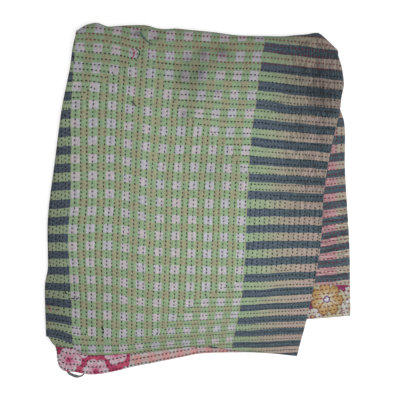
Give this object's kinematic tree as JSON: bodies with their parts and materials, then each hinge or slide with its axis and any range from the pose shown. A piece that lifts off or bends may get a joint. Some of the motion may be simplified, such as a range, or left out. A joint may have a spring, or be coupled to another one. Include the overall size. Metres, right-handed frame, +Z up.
{
  "type": "folded kantha quilt",
  "caption": "Kantha quilt throw folded in quarter and lying flat: four soft layers, a long fold at the left and a cross fold at the top, hems askew.",
  "frame": {"origin": "middle of the folded quilt's footprint, on the floor", "axes": "+Z up, +Y towards the top fold, +X towards the side hems, the long fold at -X"},
  "size_m": [0.7034, 0.8168, 0.0272],
  "materials": {
    "quilt_cotton": "soft worn plain-weave cotton, green and cream check with blue-grey stripe bands, hand quilted with rows of dark and red running stitches",
    "hem_cotton": "soft worn plain-weave cotton, blue-grey and off-white, torn hem strip"
  },
  "bodies": {
    "root": {"quilt": "quilt_cotton", "hem_loop": "hem_cotton"}
  },
  "joints": []
}
